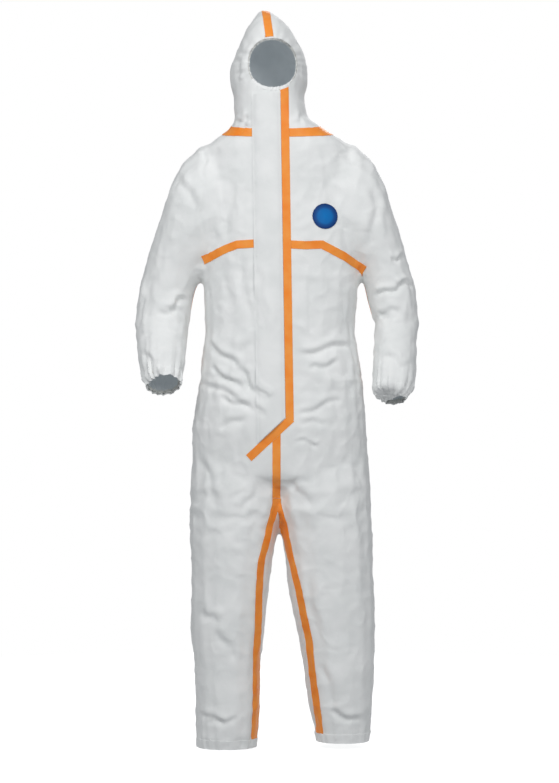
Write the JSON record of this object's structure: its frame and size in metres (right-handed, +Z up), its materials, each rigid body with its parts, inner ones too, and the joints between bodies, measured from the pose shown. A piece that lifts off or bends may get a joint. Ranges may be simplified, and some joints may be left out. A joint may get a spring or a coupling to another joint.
{
  "type": "protective coverall",
  "caption": "Hooded white chemical protective coverall with taped seams, zip under a storm flap, and elastic at face, wrists, waist and ankles.",
  "frame": {"origin": "on the floor between the two trouser hems, under the hood's tip to within 40 mm", "axes": "+Z up, -Y out of the chest, +X to the wearer's left"},
  "size_m": [0.6774, 0.2882, 1.762],
  "materials": {
    "fabric": "laminated nonwoven, matt with a faint film sheen",
    "hem_fabric": "the same nonwoven turned over twice",
    "seam_tape": "satin polymer film, heat pressed",
    "elastic": "woven elastic band",
    "zip_tape": "woven polyester tape",
    "zip_teeth": "nylon coil",
    "slider": "white enamelled zinc",
    "adhesive": "double-sided strip under its release paper",
    "badge": "printed nonwoven label, blue"
  },
  "bodies": {
    "root": {"face_hem": "hem_fabric", "face_elastic": "elastic", "cuff_hem_right": "hem_fabric", "cuff_hem_left": "hem_fabric", "wrist_elastic_right": "elastic", "wrist_elastic_left": "elastic", "ankle_hem_right": "hem_fabric", "ankle_hem_left": "hem_fabric", "ankle_elastic_right": "elastic", "ankle_elastic_left": "elastic", "waist_elastic": "elastic", "hood_right": "fabric", "hood_left": "fabric", "yoke_right": "fabric", "yoke_left": "fabric", "sleeve_right": "fabric", "sleeve_left": "fabric", "lower_right": "fabric", "lower_left": "fabric", "flap_foot_tape": "seam_tape", "centre_front_tape": "seam_tape", "crotch_tape": "seam_tape", "hood_tape": "seam_tape", "back_centre_tape": "seam_tape", "neck_tape_right": "seam_tape", "neck_tape_left": "seam_tape", "chest_tape_right": "seam_tape", "chest_tape_left": "seam_tape", "back_yoke_tape_right": "seam_tape", "back_yoke_tape_left": "seam_tape", "inseam_tape_right": "seam_tape", "inseam_tape_left": "seam_tape", "underarm_tape_right": "seam_tape", "underarm_tape_left": "seam_tape", "badge": "badge", "zip_tape_right": "zip_tape", "zip_teeth_right": "zip_teeth", "zip_top_stop_right": "zip_teeth", "zip_tape_left": "zip_tape", "zip_teeth_left": "zip_teeth", "zip_top_stop_left": "zip_teeth", "zip_bottom_stop": "zip_teeth", "flap_adhesive_strip": "adhesive"},
    "flap": {"storm_flap": "fabric"},
    "slider": {"slider_body": "slider"},
    "pull": {"slider_pull": "slider"}
  },
  "joints": [
    {"name": "flap_open", "type": "hinge", "parent": "root", "child": "flap", "pos_m": [0.0138, -0.12999, 0.7805], "axis": [-0.0157, 0.0196, 0.9997], "range_deg": [0, 120]},
    {"name": "zip_slide", "type": "slide", "parent": "root", "child": "slider", "axis": [0.0157, -0.0196, -0.9997], "range_m": [0, 0.739]},
    {"name": "pull_swing", "type": "hinge", "parent": "slider", "child": "pull", "pos_m": [-0.0258, -0.11665, 1.53249], "axis": [-0.0002, -0.9998, 0.0196], "range_deg": [-25, 25]}
  ]
}
